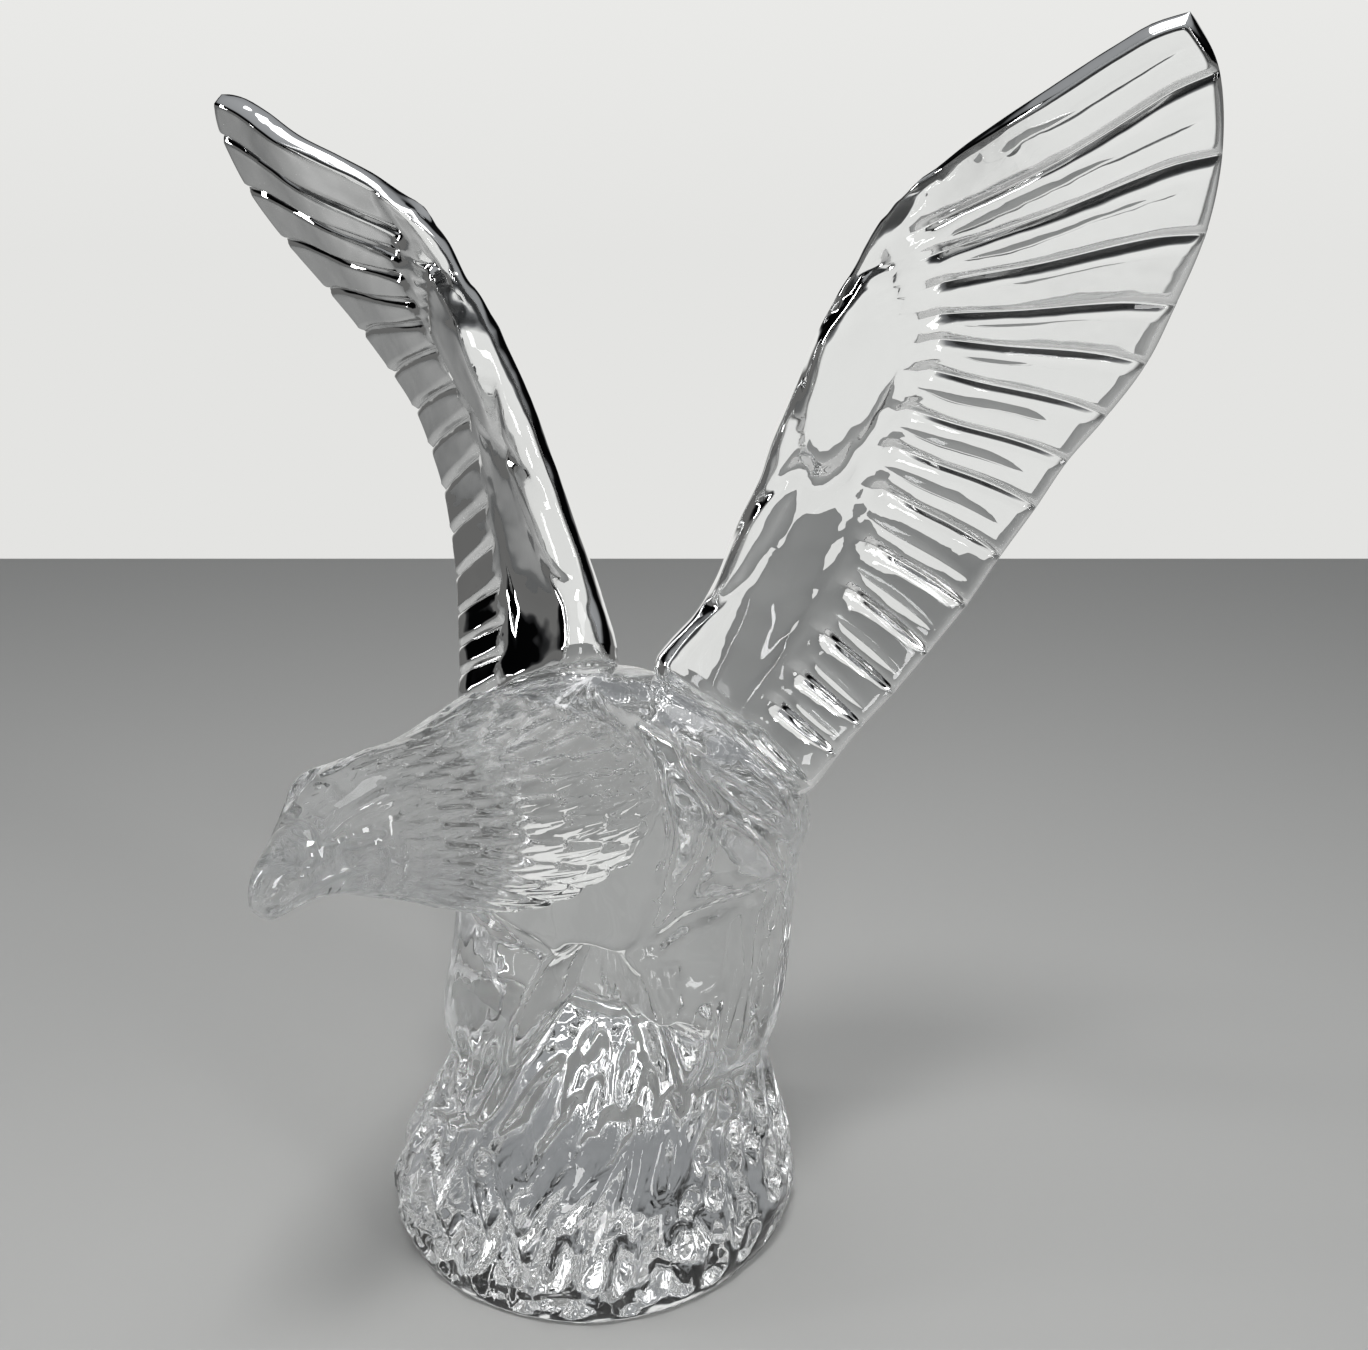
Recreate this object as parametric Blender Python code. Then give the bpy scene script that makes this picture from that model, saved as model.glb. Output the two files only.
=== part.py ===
# Crystal eagle figurine: one solid casting with raised wings on a carved rock mound
# Frame: centre of the flat underside at the origin, +Z up, the bird faces -Y, its left wing at +X
import math

import bmesh
import bpy
import numpy as np

for old in list(bpy.data.objects):
    bpy.data.objects.remove(old, do_unlink=True)

# Driving dimensions in metres
FIGURE_HEIGHT = 0.240
WING_SPAN = 0.2265
WING_EDGE_THICKNESS = 0.0038
WING_ARM_THICKNESS = 0.0105
FEATHER_GROOVE_DEPTH = 0.0015
BASE_DIAMETER = 0.087
BASE_BULGE_DIAMETER = 0.0905
ROCK_FLUTE_DEPTH = 0.0028
BODY_WIDTH = 0.073
ARCH_DEPTH = 0.017
LEG_RELIEF = 0.0018
NECK_WIDTH = 0.0486
MANE_DEPTH = 0.0022

# Counts of the carving
FEATHER_COUNT = 16
ROCK_FLUTE_COUNT = 20
MANE_LOCK_COUNT = 13

# The pose, in thousandths of the figure's height
SHARE = FIGURE_HEIGHT / 1000
WING_X = (WING_SPAN / 2) / 472  # x of the wings, where the widest point of the outline is 472

# Leading edge of the left wing from the shoulder to the wrist, then from the wrist to the tip
ARM_EDGE = [(8, 50, 471), (36, 75, 526), (55, 85, 552), (73, 88, 585), (94, 84, 632), (105, 84, 655),
            (117, 84, 678), (128, 81, 706), (142, 80, 734), (156, 78, 761), (166, 77, 784), (177, 77, 805),
            (188, 76, 822), (199, 77, 838), (217, 76, 865), (232, 75, 880), (245, 73, 891)]
TIP_EDGE = [(245, 73, 891), (266, 68, 907), (293, 58, 925), (327, 45, 942), (366, 33, 960),
            (410, 33, 984), (429, 32, 993), (453, 34, 999)]
# Trailing edge of the left wing from the shoulder to the tip, one point a feather
TRAILING_EDGE = [(158, 38, 388), (193, 50, 431), (207, 66, 457), (221, 81, 481), (239, 101, 508),
                 (258, 122, 540), (281, 142, 579), (302, 156, 620), (326, 165, 661), (348, 168, 699),
                 (377, 166, 736), (407, 156, 777), (431, 134, 820), (456, 104, 869), (470, 73, 918),
                 (470, 48, 966), (453, 34, 999)]
# Where each feather line leaves the arm edge, in thousandths of that edge
ARM_STARTS = [0, 90, 145, 200, 275, 345, 405, 467, 523, 575, 631, 694, 758, 822, 906, 965, 1000]
# Where the wing goes on from its shoulder line into the body, for each feather's width
ROOT_DIVE = (30, 15, 48)
ROOT_REACH = 1.2
# How far each feather line swings along the wing at its inner end, in feathers
FEATHER_SWING = [0, .3, .4, .5, .6, .8, .8, 1.0, 1.05, 1.0, .95, .55, 0, -.35, -.7, -1.0, 0]
# Inner end of each feather's groove, as a share of the way from the leading to the trailing edge
GROOVE_START = [.62, .6, .55, .5, .46, .43, .41, .41, .40, .40, .38, .35, .31, .27, .24, .2, .2]

# Rings of the body: height, centre y, front y, back y, half width over half the body width
BODY_RINGS = [(0, 21, -80, 122, .74), (104, 21, -95, 146, .81), (121, 21, -100, 158, .84), (154, 21, -112, 179, .91),
              (196, 21, -112, 195, .975), (225, 21, -105, 196, 1.0), (250, 21, -94, 196, 1.02),
              (288, 21, -82, 194, 1.045), (325, 21, -80, 189, 1.09), (362, 21, -74, 180, 1.19),
              (400, 21, -66, 163, 1.26), (430, 21, -60, 142, 1.19), (452, 21, -60, 124, 1.02),
              (474, 20, -62, 106, .78), (490, 14, -66, 88, .52), (502, 6, -66, 66, .30), (508, -2, -52, 36, .14)]
# Profile of the rock: height, radius over the base radius, before the bulge is added
ROCK_PROFILE = [(0, 1.0), (12, 1.025), (30, 1.04), (50, 1.02), (68, .985), (85, .945), (105, .895), (125, .845),
                (147, .80), (168, .745), (186, .67), (202, .57), (216, .43), (226, .26), (231, .1)]
# Rough outline of the rock: bearing in degrees from the front, millesimals of the height added to its radius
ROCK_OUTLINE = [(-180, 0), (-100, 2), (-56, 4.5), (-22, -3), (5, -1), (34, 2), (60, -3), (85, -8), (124, -4), (180, 0)]
# Lower edge of the smooth body over the arch between the legs: bearing, height
BODY_HEM = [(-180, 20), (-75, 40), (-50, 90), (-30, 112), (-14, 128), (-8, 130), (-5, 160),
            (-2, 200), (3, 240), (9, 270), (18, 288), (30, 292), (42, 288), (49, 268), (54, 222), (59, 226),
            (65, 228), (72, 212), (80, 176), (88, 120), (105, 60), (180, 20)]
# Tongue of smooth glass that runs down over the rock: bearing, height, half width
TONGUE = [(54, 90, 5), (62, 122, 12), (72, 160, 24), (82, 205, 36), (92, 250, 46)]
# Edge and feathers of the tail on the back of the body
TAIL_EDGE_BEARING = 118
TAIL_FEATHER_COUNT = 7

# Rings of the neck and head from inside the shoulders to the beak:
# y at top, side and bottom, height of top and bottom, half width over half the neck width
HEAD_RINGS = [(10, 30, 10, 470, 390, .6), (-50, -10, -46, 500, 364, .90), (-100, -46, -122, 514, 348, 1.0),
              (-118, -66, -138, 514, 347, 1.01), (-145, -104, -158, 509, 353, .96), (-172, -144, -182, 505, 362, .87),
              (-200, -184, -208, 504, 375, .76), (-226, -218, -236, 506, 390, .66), (-250, -250, -262, 507, 402, .58),
              (-274, -278, -284, 505, 412, .52), (-292, -300, -300, 499, 420, .45), (-306, -314, -314, 493, 424, .37),
              (-321, -328, -326, 483, 425, .29), (-337, -341, -338, 473, 424, .225), (-350, -352, -348, 465, 422, .18),
              (-360, -361, -357, 456, 421, .135), (-367, -366, -362, 446, 423, .09), (-369, -368, -366, 436, 428, .035)]


def spline(knots, values, at):
    """Smooth curve through the knots: cubic pieces that meet with three-point slopes."""
    x, y, at = np.asarray(knots, float), np.asarray(values, float), np.asarray(at, float)
    flat = y.ndim == 1
    y = y[:, None] if flat else y
    run = np.diff(x)[:, None]
    rise = np.diff(y, axis=0) / run
    slope = np.vstack([rise[:1], (rise[:-1] * run[1:] + rise[1:] * run[:-1]) / (run[1:] + run[:-1]), rise[-1:]])
    i = np.clip(np.searchsorted(x, at, side="right") - 1, 0, len(x) - 2)
    h = (x[i + 1] - x[i])[..., None]
    u = np.clip((at - x[i])[..., None] / h, 0, 1)
    out = ((2 * u**3 - 3 * u**2 + 1) * y[i] + (u**3 - 2 * u**2 + u) * h * slope[i]
           + (3 * u**2 - 2 * u**3) * y[i + 1] + (u**3 - u**2) * h * slope[i + 1])
    return out[..., 0] if flat else out


def along(points, at):
    """Smooth curve through points, at shares of its length from 0 to 1."""
    steps = np.linalg.norm(np.diff(points, axis=0), axis=1)
    knots = np.concatenate([[0], np.cumsum(steps)]) / steps.sum()
    return spline(knots, points, at)


def ease(t):
    """Soft step from 0 to 1."""
    t = np.clip(t, 0, 1)
    return t * t * (3 - 2 * t)


def soft_max(a, b, width):
    """The larger of two values, with the corner between them rounded over the width."""
    h = np.clip(0.5 + (a - b) / (2 * width), 0, 1)
    return b + (a - b) * h + width * h * (1 - h)


def wing_sheet(u, g):
    """Middle surface of the left wing: u from leading to trailing edge, g counts feathers from the shoulder."""
    arm = np.array(ARM_EDGE, float) * (WING_X, SHARE, SHARE)
    tip = np.array(TIP_EDGE, float) * (WING_X, SHARE, SHARE)
    rear = np.array(TRAILING_EDGE, float) * (WING_X, SHARE, SHARE)
    count = np.arange(len(rear))
    dive = np.minimum(g, 0)[..., None] * np.array(ROOT_DIVE, float) * (WING_X, SHARE, SHARE)
    g = np.maximum(g, 0) * (len(rear) - 1) / FEATHER_COUNT
    v = g + spline(count, FEATHER_SWING, g) * np.minimum(1.4 * (1 - u), 1.15)
    k, w = (v / count[-1])[..., None], u[..., None]
    front = along(arm, np.interp(v, count, np.array(ARM_STARTS) / 1000))
    back = spline(count, rear, v)
    root = arm[0] + (rear[0] - arm[0]) * w
    corners = (1 - w) * (1 - k) * arm[0] + (1 - w) * k * arm[-1] + w * (1 - k) * rear[0] + w * k * rear[-1]
    return (1 - k) * root + k * along(tip, u) + (1 - w) * front + w * back - corners + dive


def wing_half_thickness(u, g):
    """Half thickness of the wing before carving: a thick arm that thins to the trailing edge and the tip."""
    c = FEATHER_COUNT
    arm = np.exp(-(u / 0.30) ** 2) * (1 - 0.75 * ease((g / c - 0.60) / 0.40))
    outer = 0.55 * np.exp(-((c - g) / 0.9) ** 2)
    flare = 0.9 * np.exp(-(np.maximum(g, 0) / 1.7) ** 2) * ease((1 - u) / 0.2 + .3)
    thin, thick = WING_EDGE_THICKNESS / 2, WING_ARM_THICKNESS / 2
    return thin + (thick - thin) * np.clip(arm + outer + flare, 0, 1.5)


def oval(u, g, centre, radii, lean):
    """Distance from the middle of an oval on the wing: 0 in the middle, 1 on its rim."""
    du = u - centre[0] - lean * (g - centre[1])
    return np.hypot(du / radii[0], (g - centre[1]) / radii[1])


def wing_carving(u, g, side):
    """Depth below the plain surface: barrel feathers and, on the front, the long ovals over the arm."""
    start = spline(np.arange(len(GROOVE_START)), GROOVE_START, g * (len(GROOVE_START) - 1) / FEATHER_COUNT)
    shift = 0.0 if side > 0 else 0.5
    across = np.abs((g + shift) % 1.0 - 0.5) * 2
    run = ease((u - start) / 0.12) * ease(g / 1.5)
    if side < 0:
        run = run * ease((0.93 - u) / 0.12) * 0.7 * ease((FEATHER_COUNT - g) / 0.8)
    depth = FEATHER_GROOVE_DEPTH * across**3 * run
    if side > 0:
        k = FEATHER_COUNT / 16
        for centre, radii, lean in (((0.17, 11.3 * k), (0.125, 2.6 * k), 0.02), ((0.22, 6.8 * k), (0.085, 2.0 * k), 0.03)):
            d = oval(u, g, centre, radii, lean)
            depth = depth - 3.8 * SHARE * ease(1.15 - d) + 4.6 * SHARE * np.exp(-((d - 1.05) / 0.16) ** 2)
    return depth


def sheet_faces(rows, columns, offset=0, flip=False, closed=False):
    """Quads between neighbouring points of a grid; closed joins the last column to the first."""
    r = np.arange(rows - 1)[:, None]
    c = np.arange(columns if closed else columns - 1)[None, :]
    d = (c + 1) % columns
    quads = np.stack([r * columns + c, r * columns + d, (r + 1) * columns + d, (r + 1) * columns + c], -1)
    quads = quads.reshape(-1, 4) + offset
    return (quads[:, ::-1] if flip else quads).tolist()


def make_wing(name, side):
    """One wing as a closed sheet with a front, a back and a rim between them."""
    us = np.array([0, .035, .10, .19, .27, .36, .48, .64, .80, .93, 1.0])
    gs = np.sort(np.concatenate([[-ROOT_REACH, -ROOT_REACH / 2], np.arange(0, FEATHER_COUNT + 1), np.arange(0, FEATHER_COUNT) + 0.28,
                                 np.arange(0, FEATHER_COUNT) + 0.72]).astype(float))
    u, g = np.meshgrid(us, gs, indexing="ij")
    middle = wing_sheet(u, g)
    e = 1e-3
    du = wing_sheet(np.clip(u + e, 0, 1), g) - wing_sheet(np.clip(u - e, 0, 1), g)
    dg = wing_sheet(u, np.clip(g + e, 0, FEATHER_COUNT)) - wing_sheet(u, np.clip(g - e, -ROOT_REACH, FEATHER_COUNT))
    normal = np.cross(dg, du)
    normal /= np.linalg.norm(normal, axis=-1, keepdims=True)
    normal *= np.where(normal[..., 1:2] > 0, -1.0, 1.0)
    edge = np.ones_like(u)
    for share, keep in ((0, .42), (.035, .80)):
        edge = np.where(np.isclose(u, share), keep, edge)
    edge = np.where(u == 1.0, 0.55, edge) * np.where(g == FEATHER_COUNT, 0.5, 1.0)
    half = wing_half_thickness(u, g) * edge
    front = middle + normal * (half - wing_carving(u, g, 1) * np.minimum(edge, 1))[..., None]
    back = middle - normal * (half - wing_carving(u, g, -1) * np.minimum(edge, 1))[..., None]
    rows, columns = u.shape
    n = rows * columns
    points = np.concatenate([front.reshape(-1, 3), back.reshape(-1, 3)])
    points[:, 0] *= side
    faces = sheet_faces(rows, columns, 0, side < 0) + sheet_faces(rows, columns, n, side > 0)
    rim = [i for i in range(columns)] + [r * columns + columns - 1 for r in range(1, rows)]
    rim += [(rows - 1) * columns + c for c in range(columns - 2, -1, -1)] + [r * columns for r in range(rows - 2, 0, -1)]
    for a, b in zip(rim, rim[1:] + rim[:1]):
        quad = [a, a + n, b + n, b]
        faces.append(quad if side > 0 else quad[::-1])
    return make_object(name, points, faces)


def rock_twist(z):
    """Turn of the rock's flutes with height, so that they rise slanting towards the left wing."""
    return 2 * math.pi / ROCK_FLUTE_COUNT * np.minimum(z / SHARE, 190) / 85


def rock_radius(bearing, z):
    """Radius of the rock without and with its slanting flutes, which swell and pinch like flowing water."""
    base = BASE_DIAMETER / 2
    swell = (BASE_BULGE_DIAMETER / 2 / base - 1) / 0.040
    share = spline([p[0] for p in ROCK_PROFILE], [p[1] for p in ROCK_PROFILE], z / SHARE)
    plain = base * np.where(share > 1, 1 + (share - 1) * swell, share)
    rough = np.interp(np.degrees(bearing), [p[0] for p in ROCK_OUTLINE], [p[1] for p in ROCK_OUTLINE]) * SHARE
    plain = plain + rough * ease((150 - z / SHARE) / 100)
    turn = ROCK_FLUTE_COUNT * (bearing - rock_twist(z)) / (2 * math.pi)
    flute = np.abs(np.sin(math.pi * turn))
    rows = 0.5 + 0.5 * np.cos(2 * math.pi * (z / SHARE / 64 + 0.5 * np.floor(turn)))
    fade = ease(z / SHARE / 18) * ease((231 - z / SHARE) / 60)
    return plain, plain - ROCK_FLUTE_DEPTH * fade * (1 - flute + 0.5 * rows * flute)


def body_share(bearing, z):
    """1 where the smooth body lies over the rock, 0 where the rock shows, from the hem and the tongue."""
    degrees = np.degrees(bearing)
    hem = np.interp(degrees, [p[0] for p in BODY_HEM], [p[1] for p in BODY_HEM])
    share = ease((z / SHARE - hem) / 14 + 0.5)
    path = np.array(TONGUE, float)
    middle = np.interp(z / SHARE, path[:, 1], path[:, 0])
    half = np.interp(z / SHARE, path[:, 1], path[:, 2])
    inside = half - np.abs(degrees - middle) * math.radians(1) * 148
    tongue = ease(inside / 10 + 0.3) * ease((z / SHARE - 84) / 14) * ease((262 - z / SHARE) / 20)
    return np.maximum(share, tongue)


def trunk_surface(bearing, z):
    """Body over rock around the axis: bearing in radians from the front towards the left, height in metres."""
    rings = np.array(BODY_RINGS, float)
    ring = spline(rings[:, 0], rings[:, 1:], z / SHARE)
    centre, front, back = (ring[..., i] * SHARE for i in range(3))
    wide = ring[..., 3] * BODY_WIDTH / 2
    deep = np.where(np.cos(bearing) > 0, centre - front, back - centre)
    body = 1 / np.sqrt((np.sin(bearing) / wide) ** 2 + (np.cos(bearing) / deep) ** 2)
    degrees = np.abs(np.degrees(bearing))
    feather = (degrees - TAIL_EDGE_BEARING) / (180 - TAIL_EDGE_BEARING) * TAIL_FEATHER_COUNT / 2
    barrel = 1 - np.abs((feather + 0.5 * (TAIL_FEATHER_COUNT % 2)) % 1.0 - 0.5) ** 2 * 4
    on_tail = ease((degrees - TAIL_EDGE_BEARING) / 5) * ease((392 - z / SHARE) / 60)
    body = body + on_tail * (5 * barrel + 2.5) * SHARE
    thigh = np.exp(-((np.degrees(bearing) + 52) / 26) ** 2 - ((z / SHARE - 180) / 46) ** 2)
    body = body + 12.5 * SHARE * thigh
    smooth_rock, rock = rock_radius(bearing, z)
    low = soft_max(rock, body - ARCH_DEPTH, 12.5 * SHARE)
    front = ease((np.degrees(bearing) + 55) / 20) * ease((100 - np.degrees(bearing)) / 20)
    leg = soft_max(body, rock + (smooth_rock + LEG_RELIEF - rock) * front, 5 * SHARE)
    radius = low + (leg - low) * body_share(bearing, z)
    centre = centre * ease(z / SHARE / 150)
    return np.stack([radius * np.sin(bearing), centre - radius * np.cos(bearing), z], -1)


def make_trunk():
    """Rock, legs, belly and back as one closed loft, from the underside to the saddle between the wings."""
    heights = np.array([0, 6, 22, 40, 58, 76, 90, 104, 120, 136, 152, 168, 184, 200, 214, 228, 242, 256, 270, 286,
                        308, 330, 362, 398, 426, 448, 468, 486, 499, 506]) * SHARE
    heights[-1] = 0.5075 * FIGURE_HEIGHT
    columns = 3 * ROCK_FLUTE_COUNT
    turns = (np.arange(columns) + 0.0) / columns * 2 * math.pi
    z, bearing = np.meshgrid(heights, turns, indexing="ij")
    bearing = (bearing + rock_twist(z) + math.pi) % (2 * math.pi) - math.pi
    points = trunk_surface(bearing, z)
    rows, columns = z.shape
    bottom = [[0, 0, 0]]
    top = [points[-1].mean(0) + (0, 0, 2.5 * SHARE)]
    n = rows * columns
    faces = sheet_faces(rows, columns, 0, False, True)
    for c in range(columns):
        d = (c + 1) % columns
        faces.append([n, d, c])
        faces.append([n + 1, (rows - 1) * columns + c, (rows - 1) * columns + d])
    return make_object("crystal_eagle", np.concatenate([points.reshape(-1, 3), bottom, top]), faces)


def make_head():
    """Neck, mane, head and beak as one closed loft of rings around a line that runs forward."""
    rings = np.array(HEAD_RINGS, float)
    stations = np.sort(np.concatenate([np.arange(len(rings)), np.arange(2, 9) + 0.5]).astype(float))
    turns = np.arange(3 * MANE_LOCK_COUNT) / (3 * MANE_LOCK_COUNT) * 2 * math.pi
    s, turn = np.meshgrid(stations, turns, indexing="ij")
    ring = spline(np.arange(len(rings)), rings, s)
    top, mid, low, high, down = (ring[..., i] * SHARE for i in range(5))
    wide = ring[..., 5] * NECK_WIDTH / 2
    up = np.cos(turn)
    y = mid + np.where(up > 0, top - mid, low - mid) * up**2
    z = (high + down) / 2 + (high - down) / 2 * np.sign(up) * np.abs(up) ** 0.92
    x = wide * np.sign(np.sin(turn)) * np.abs(np.sin(turn)) ** 0.92
    lock = np.abs(np.sin(0.5 * MANE_LOCK_COUNT * turn))
    overlap = np.abs(np.sin(0.5 * math.pi * (s - 2 + np.round(0.5 * MANE_LOCK_COUNT * turn / math.pi))))
    tips = ease((9.0 - s) / 2) * ease((s - 1.6) / 0.8)
    grow = 1 + MANE_DEPTH / np.maximum(wide, 25 * SHARE) * tips * (0.75 * lock + 0.35 * overlap - 0.75)
    side = np.abs(np.sin(turn))
    brow = 4.6 * SHARE * np.exp(-((s - 10.0) / 1.3) ** 2 - ((np.degrees(np.arccos(np.clip(up, -1, 1))) - 48) / 11) ** 2)
    eye = -5.4 * SHARE * np.exp(-((s - 10.4) / 0.8) ** 2 - ((np.degrees(np.arccos(np.clip(up, -1, 1))) - 66) / 12) ** 2)
    mouth = -2.5 * SHARE * np.exp(-((s - 12.5) / 1.6) ** 2 - ((np.degrees(np.arccos(np.clip(up, -1, 1))) - 112) / 10) ** 2)
    grow = grow + (brow + eye + mouth) / np.maximum(wide, 12.5 * SHARE)
    middle = (high + down) / 2
    points = np.stack([x * grow, y + 0 * side, middle + (z - middle) * grow], -1)
    rows, columns = s.shape
    n = rows * columns
    faces = sheet_faces(rows, columns, 0, True, True)
    for c in range(columns):
        d = (c + 1) % columns
        faces.append([n, c, d])
        faces.append([n + 1, (rows - 1) * columns + d, (rows - 1) * columns + c])
    ends = [points[0].mean(0), points[-1].mean(0) + (0, -1.7 * SHARE, 0)]
    return make_object("neck_and_head", np.concatenate([points.reshape(-1, 3), ends]), faces)


def make_object(name, points, faces):
    """Mesh object from computed points and faces."""
    mesh = bpy.data.meshes.new(name)
    mesh.from_pydata([tuple(map(float, p)) for p in points], [], [list(map(int, f)) for f in faces])
    mesh.update()
    made = bpy.data.objects.new(name, mesh)
    bpy.context.scene.collection.objects.link(made)
    return made


def unite(target, other):
    """Fuses another closed mass into the target with an exact Boolean."""
    modifier = target.modifiers.new("union", "BOOLEAN")
    modifier.operation = "UNION"
    modifier.solver = "EXACT"
    modifier.object = other
    bpy.context.view_layer.objects.active = target
    bpy.ops.object.modifier_apply(modifier=modifier.name)
    bpy.data.objects.remove(other, do_unlink=True)


def clear_slivers(target, most_faces):
    """Deletes the specks of a few faces, and of no volume, that a Boolean leaves where two facets graze."""
    mesh = bmesh.new()
    mesh.from_mesh(target.data)
    bmesh.ops.triangulate(mesh, faces=mesh.faces)
    bmesh.ops.dissolve_degenerate(mesh, dist=FIGURE_HEIGHT * 1e-5, edges=mesh.edges)
    bmesh.ops.triangulate(mesh, faces=mesh.faces)
    left, specks = set(mesh.faces), []
    while left:
        island, edge = set(), [left.pop()]
        while edge:
            face = edge.pop()
            island.add(face)
            near = {f for e in face.edges if len(e.link_faces) == 2 for f in e.link_faces} & left
            left -= near
            edge += near
        if len(island) <= most_faces:
            specks += island
    bmesh.ops.delete(mesh, geom=specks, context="FACES")
    mesh.to_mesh(target.data)
    mesh.free()


# One casting: the masses are fused into a single closed body
eagle = make_trunk()
unite(eagle, make_head())
unite(eagle, make_wing("left_wing", 1))
unite(eagle, make_wing("right_wing", -1))
clear_slivers(eagle, 12)

# Material: clear lead crystal
crystal = bpy.data.materials.new("lead_crystal")
crystal.use_nodes = True
shader = crystal.node_tree.nodes["Principled BSDF"]
shader.inputs["Base Color"].default_value = (0.97, 0.98, 0.98, 1.0)
shader.inputs["Roughness"].default_value = 0.02
shader.inputs["IOR"].default_value = 1.545
shader.inputs["Transmission Weight"].default_value = 1.0
eagle.data.materials.clear()
eagle.data.materials.append(crystal)
for polygon in eagle.data.polygons:
    polygon.use_smooth = True
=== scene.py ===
# %% [markdown]
# # A lead crystal eagle with raised wings
# The real figurine is one piece of clear lead crystal, pressed hot into a mould, then fire-polished and ground flat
# underneath. This lesson builds it as one closed numpy surface, because glass shows every wall inside it: two masses
# that merely overlap would show a false wall where they meet.

# %% Setting up
import math
import bpy
import numpy as np
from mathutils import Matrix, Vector


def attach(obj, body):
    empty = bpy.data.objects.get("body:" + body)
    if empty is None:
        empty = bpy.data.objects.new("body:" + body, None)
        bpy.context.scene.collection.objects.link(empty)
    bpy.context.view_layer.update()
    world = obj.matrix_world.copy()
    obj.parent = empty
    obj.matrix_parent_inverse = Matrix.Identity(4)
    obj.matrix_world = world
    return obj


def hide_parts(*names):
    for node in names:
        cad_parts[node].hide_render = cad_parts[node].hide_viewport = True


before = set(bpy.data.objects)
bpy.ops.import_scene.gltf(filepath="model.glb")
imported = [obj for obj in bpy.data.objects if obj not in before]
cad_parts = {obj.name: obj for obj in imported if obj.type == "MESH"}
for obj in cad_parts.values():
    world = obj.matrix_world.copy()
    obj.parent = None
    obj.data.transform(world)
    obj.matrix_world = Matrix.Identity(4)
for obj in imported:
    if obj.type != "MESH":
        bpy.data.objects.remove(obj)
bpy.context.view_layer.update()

# %% [markdown]
# ## Camera
# The photo looks down at the bird by 16 degrees from its left front. The angle, the place and the lens were solved
# from the two wings, read as a mirrored pair. The lens is given by its focal length in pixels of the photo.

# %% Camera
AZIMUTH, PITCH = math.radians(34.1), math.radians(16.0)
CAMERA_PLACE = (0.180234, -0.231269, 0.205902)
SENSOR_MM, FOCAL_PIXELS, PHOTO_PIXELS = 36.0, 1484.0, 1368.0
camera = bpy.data.objects.new("camera", bpy.data.cameras.new("camera"))
bpy.context.scene.collection.objects.link(camera)
bpy.context.scene.camera = camera
camera.location = CAMERA_PLACE
forward = Vector((-math.sin(AZIMUTH) * math.cos(PITCH), math.cos(AZIMUTH) * math.cos(PITCH), -math.sin(PITCH)))
camera.rotation_euler = forward.to_track_quat("-Z", "Y").to_euler()
camera.data.sensor_fit = "HORIZONTAL"
camera.data.sensor_width = SENSOR_MM
camera.data.lens = SENSOR_MM * FOCAL_PIXELS / PHOTO_PIXELS
camera.data.clip_start = 0.01
print("camera lens", round(camera.data.lens, 2), "mm")

# %% [markdown]
# ## Helpers
# Every surface below is computed as one whole array of points. A few functions are enough for that: soft steps,
# bells and splines for the forms, and one that turns arrays of points and faces into a mesh.


# %% Colour and shader nodes
def to_linear(hex_colour):
    """sRGB hex to linear: each channel is divided by 12.92 below 0.04045, or raised to the power 2.4 above it."""
    srgb = np.array([int(hex_colour[i:i + 2], 16) for i in (1, 3, 5)]) / 255
    linear = np.where(srgb <= 0.04045, srgb / 12.92, ((srgb + 0.055) / 1.055) ** 2.4)
    return (*linear.tolist(), 1.0)


def add_node(tree, kind, settings=(), links=()):
    """Adds one node, sets its properties or sockets by name, and links sockets of other nodes into it."""
    node = tree.nodes.new(kind)
    for key, value in dict(settings).items():
        if hasattr(node, key):
            setattr(node, key, value)
        else:
            node.inputs[key].default_value = value
    for key, source in dict(links).items():
        tree.links.new(source, node.inputs[key])
    return node


# %% Curves
def ease(t):
    """Soft step: 3t^2 - 2t^3 between 0 and 1."""
    t = np.clip(t, 0, 1)
    return t * t * (3 - 2 * t)


def bell(t):
    """Bell curve: e to the minus t squared."""
    return np.exp(-np.square(t))


def spline(knots, values, at):
    """Cubic pieces through the knots, whose slopes are the mean of the two neighbouring chords, weighted."""
    x, y, at = np.asarray(knots, float), np.asarray(values, float), np.asarray(at, float)
    flat = y.ndim == 1
    y = y[:, None] if flat else y
    run = np.diff(x)[:, None]
    rise = np.diff(y, axis=0) / run
    inner = (rise[:-1] * run[1:] + rise[1:] * run[:-1]) / (run[1:] + run[:-1])
    slope = np.vstack([rise[:1], inner, rise[-1:]])
    i = np.clip(np.searchsorted(x, at, side="right") - 1, 0, len(x) - 2)
    h = (x[i + 1] - x[i])[..., None]
    u = np.clip((at - x[i])[..., None] / h, 0, 1)
    out = ((2 * u**3 - 3 * u**2 + 1) * y[i] + (u**3 - 2 * u**2 + u) * h * slope[i]
           + (3 * u**2 - 2 * u**3) * y[i + 1] + (u**3 - u**2) * h * slope[i + 1])
    return out[..., 0] if flat else out


def along(points, at):
    """Spline through points, read at shares of the length of the line that joins them."""
    steps = np.linalg.norm(np.diff(points, axis=0), axis=1)
    return spline(np.concatenate([[0], np.cumsum(steps)]) / steps.sum(), points, at)


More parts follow.
